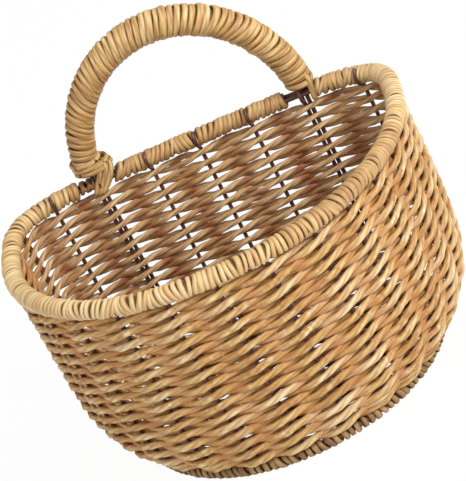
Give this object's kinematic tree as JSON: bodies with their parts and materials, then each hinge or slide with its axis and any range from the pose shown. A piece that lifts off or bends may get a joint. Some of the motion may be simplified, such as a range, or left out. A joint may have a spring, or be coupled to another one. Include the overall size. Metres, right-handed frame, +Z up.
{
  "type": "half-round woven wall basket",
  "caption": "Half-round wall basket of twined cane on bent wire hoops, with a lashed rim, a lashed foot border and a wound arch handle to hang it by.",
  "frame": {"origin": "middle of the bounding box in plan, on the surface the foot border rests on", "axes": "+X to the basket's right seen from the front, +Y towards the wall behind it, +Z up"},
  "size_m": [0.3002, 0.2118, 0.2608],
  "materials": {
    "painted_wire": "dark purple-brown paint, worn, satin",
    "straw": "pale split straw, matte with a slight natural sheen",
    "golden_strand": "golden-brown twisted plant fibre, matte",
    "brown_strand": "reddish-brown twisted plant fibre, matte",
    "cane": "raw cane, matte"
  },
  "bodies": {
    "root": {"frame_hoop_centre": "painted_wire", "frame_hoop_left_1": "painted_wire", "frame_hoop_left_2": "painted_wire", "frame_hoop_left_3": "painted_wire", "frame_hoop_right_1": "painted_wire", "frame_hoop_right_2": "painted_wire", "frame_hoop_right_3": "painted_wire", "side_upright_left_1": "painted_wire", "side_upright_left_2": "painted_wire", "side_upright_left_3": "painted_wire", "side_upright_left_4": "painted_wire", "side_upright_left_5": "painted_wire", "side_upright_right_1": "painted_wire", "side_upright_right_2": "painted_wire", "side_upright_right_3": "painted_wire", "side_upright_right_4": "painted_wire", "side_upright_right_5": "painted_wire", "rim_wire_outer": "painted_wire", "rim_wire_inner": "painted_wire", "foot_ring": "painted_wire", "rim_lashing_back": "straw", "rim_lashing_round": "straw", "foot_lashing": "straw", "weaver_a_1": "golden_strand", "weaver_a_2": "golden_strand", "weaver_a_3": "golden_strand", "weaver_a_4": "golden_strand", "weaver_b_1": "golden_strand", "weaver_b_2": "golden_strand", "weaver_b_3": "golden_strand", "weaver_b_4": "golden_strand", "handle_wire": "painted_wire", "handle_padding": "cane", "handle_lashing": "straw", "floor_weaver": "brown_strand"}
  },
  "joints": []
}
